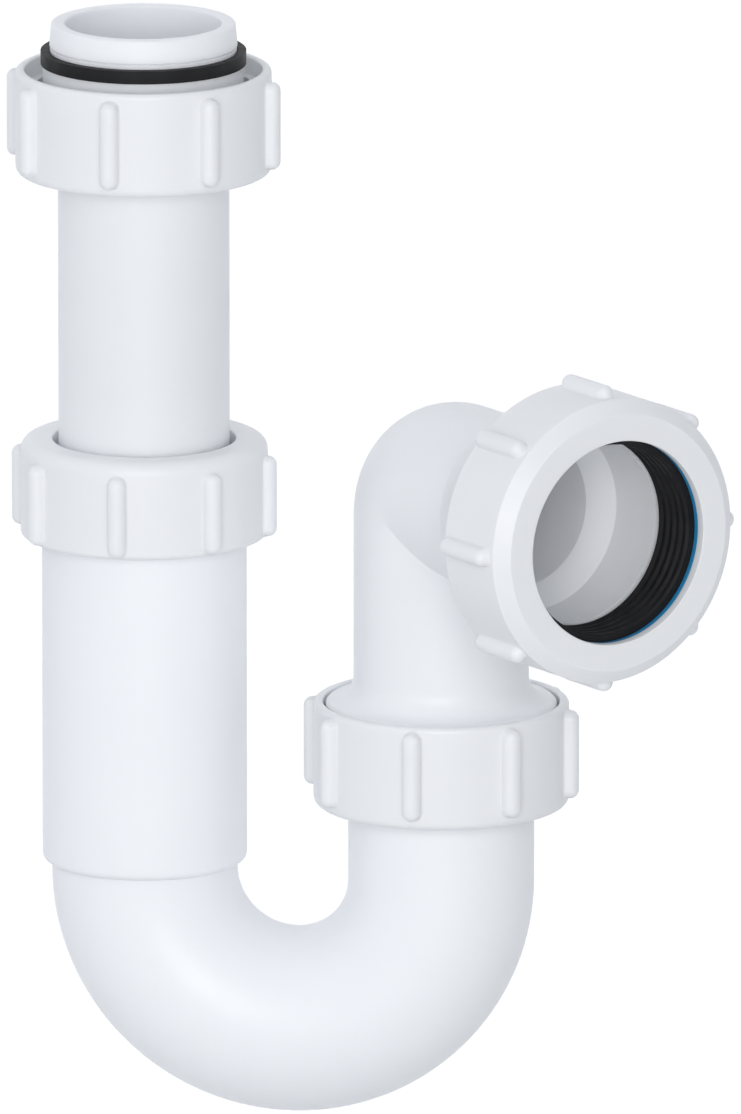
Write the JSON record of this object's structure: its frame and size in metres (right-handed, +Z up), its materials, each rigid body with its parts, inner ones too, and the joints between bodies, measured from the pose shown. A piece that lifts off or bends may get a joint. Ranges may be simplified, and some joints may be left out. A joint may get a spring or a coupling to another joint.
{
  "type": "basin trap",
  "caption": "Telescopic tubular swivel P trap that joins a wash basin's waste to a horizontal waste pipe and holds a water seal.",
  "frame": {"origin": "centre of the inlet seat, on the inlet leg's axis where the top of the washer meets the basin waste", "axes": "+Z up along the inlet leg and out of the spigot, +X from the inlet leg to the outlet leg, -Y to the front, where the outlet is swung at rest"},
  "size_m": [0.1445, 0.0874, 0.2125],
  "materials": {
    "white_plastic": "satin moulded polypropylene",
    "black_rubber": "matt moulded rubber",
    "blue_plastic": "satin polyethylene",
    "pale_plastic": "satin polyethylene"
  },
  "bodies": {
    "inlet": {"inlet_tube": "white_plastic", "inlet_washer": "black_rubber"},
    "inlet_nut": {"inlet_nut": "white_plastic"},
    "trap_body": {"body_tube": "white_plastic", "u_bend": "white_plastic", "telescope_slip_ring": "pale_plastic", "telescope_seal": "black_rubber", "union_washer": "black_rubber"},
    "telescope_nut": {"telescope_nut": "white_plastic"},
    "union_nut": {"union_nut": "white_plastic"},
    "elbow": {"outlet_elbow": "white_plastic", "outlet_slip_ring": "blue_plastic", "outlet_seal": "black_rubber"},
    "outlet_nut": {"outlet_nut": "white_plastic"}
  },
  "joints": [
    {"name": "inlet_nut_turn", "type": "hinge", "parent": "inlet", "child": "inlet_nut", "pos_m": [0, 0, -0.0137], "axis": [0, 0, 1], "continuous": true},
    {"name": "telescope_slide", "type": "slide", "parent": "inlet", "child": "trap_body", "axis": [0, 0, 1], "range_m": [-0.014, 0.039]},
    {"name": "telescope_nut_turn", "type": "hinge", "parent": "trap_body", "child": "telescope_nut", "pos_m": [0, 0, -0.0854], "axis": [0, 0, 1], "continuous": true},
    {"name": "union_nut_turn", "type": "hinge", "parent": "trap_body", "child": "union_nut", "pos_m": [0.0577, 0, -0.1353], "axis": [0, 0, 1], "continuous": true},
    {"name": "outlet_swivel", "type": "hinge", "parent": "trap_body", "child": "elbow", "pos_m": [0.0577, 0, -0.08295], "axis": [0, 0, 1], "range_deg": [-59, 151]},
    {"name": "outlet_nut_turn", "type": "hinge", "parent": "elbow", "child": "outlet_nut", "pos_m": [0.0577, 0, -0.08295], "axis": [0.6947, -0.7193, 0], "continuous": true}
  ]
}
